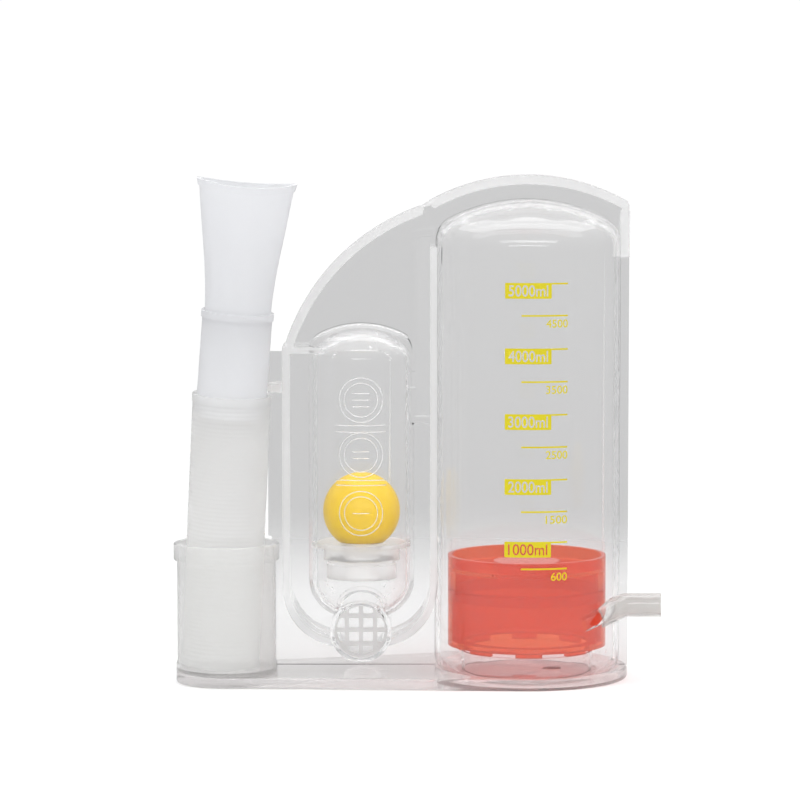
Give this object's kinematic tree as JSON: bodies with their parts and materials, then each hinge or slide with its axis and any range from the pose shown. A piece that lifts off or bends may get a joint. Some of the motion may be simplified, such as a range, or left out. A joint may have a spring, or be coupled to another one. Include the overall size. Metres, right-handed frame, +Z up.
{
  "type": "incentive spirometer",
  "caption": "Clear two-chamber breathing exerciser with a piston and a float ball, a base plate with a cup, and a stored corrugated hose with its mouthpiece.",
  "frame": {"origin": "on the underside of the base plate, halfway along it, in the plane where the two clear shells meet", "axes": "+Z up; the front with the inlet port faces -Y; +X from the hose cup to the volume chamber"},
  "size_m": [0.2664, 0.1108, 0.2768],
  "materials": {
    "clear_plastic": "clear moulded styrene",
    "base_plastic": "hazy clear moulded plastic",
    "milky_plastic": "milky moulded plastic",
    "frosted_plastic": "frosted translucent polypropylene",
    "hose_plastic": "soft translucent corrugated polythene",
    "red_plastic": "coral red moulded plastic",
    "yellow_plastic": "yellow moulded plastic"
  },
  "bodies": {
    "housing": {"front_shell": "clear_plastic", "rear_shell": "clear_plastic", "base_plate": "base_plastic", "inlet_grille": "milky_plastic", "outlet_nozzle": "milky_plastic", "piston_stop": "clear_plastic", "ball_seat": "milky_plastic", "seat_cage": "milky_plastic", "hose_cup": "base_plastic", "hose_clip": "milky_plastic"},
    "piston": {"piston_crown": "red_plastic", "piston_skirt": "red_plastic"},
    "ball": {"float_ball": "yellow_plastic"},
    "stored_hose": {"hose": "hose_plastic", "hose_top_cuff": "hose_plastic", "hose_bottom_cuff": "hose_plastic"},
    "hose_connector": {"connector": "frosted_plastic", "connector_collar": "frosted_plastic"},
    "mouth_end": {"mouthpiece": "frosted_plastic"}
  },
  "joints": [
    {"name": "piston_rise", "type": "slide", "parent": "housing", "child": "piston", "axis": [0, 0, 1], "range_m": [0, 0.165]},
    {"name": "ball_rise", "type": "slide", "parent": "housing", "child": "ball", "axis": [0, 0, 1], "range_m": [0, 0.074]},
    {"name": "hose_lift", "type": "slide", "parent": "housing", "child": "stored_hose", "axis": [0.0479, -0.0523, 0.9975], "range_m": [0, 0.08]},
    {"name": "connector_turn", "type": "hinge", "parent": "stored_hose", "child": "hose_connector", "pos_m": [-0.09276, -0.0248, 0.15857], "axis": [0.0766, -0.0558, 0.9955], "continuous": true},
    {"name": "mouthpiece_pull", "type": "slide", "parent": "hose_connector", "child": "mouth_end", "axis": [0.0766, -0.0558, 0.9955], "range_m": [0, 0.018]}
  ]
}
